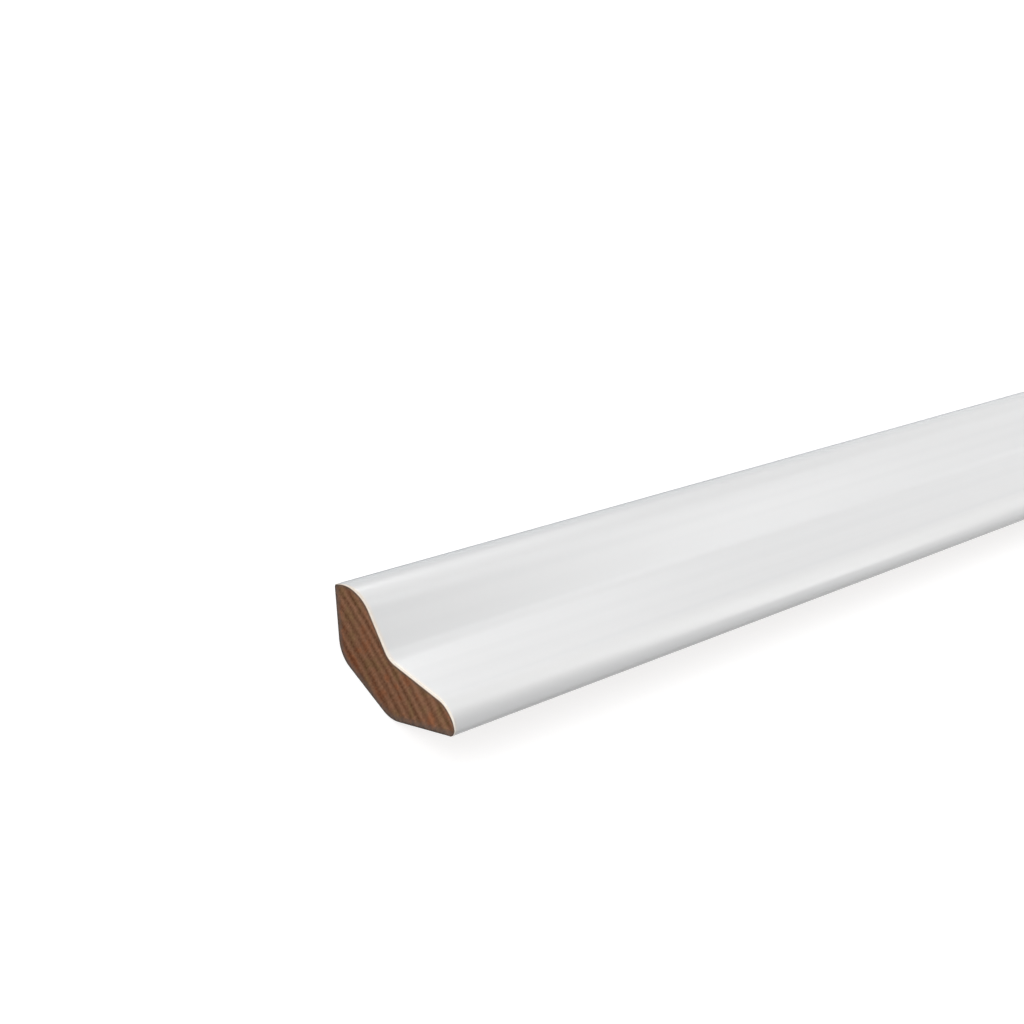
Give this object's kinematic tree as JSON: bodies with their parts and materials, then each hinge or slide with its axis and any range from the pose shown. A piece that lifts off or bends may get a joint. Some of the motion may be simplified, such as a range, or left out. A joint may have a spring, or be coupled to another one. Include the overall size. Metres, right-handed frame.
{
  "type": "scotia moulding",
  "caption": "Length of painted timber scotia moulding with a hollow front, rounded noses and a slanted back, which covers the joint between a floor and a wall.",
  "frame": {"origin": "centre of the bounding box at the level of the slanted heel that the loose length lies on", "axes": "+X along the length, away from the end that the picture shows; the moulded front faces -Y and up; -Z out of the slanted heel"},
  "size_m": [2.4, 0.0312, 0.0119],
  "materials": {
    "painted_timber": "smooth white satin paint on the front, with the timber bare on the back and at the sawn ends",
    "bare_timber": "sawn end grain and planed back, unpainted"
  },
  "bodies": {
    "root": {"scotia_moulding": "painted_timber"}
  },
  "joints": []
}
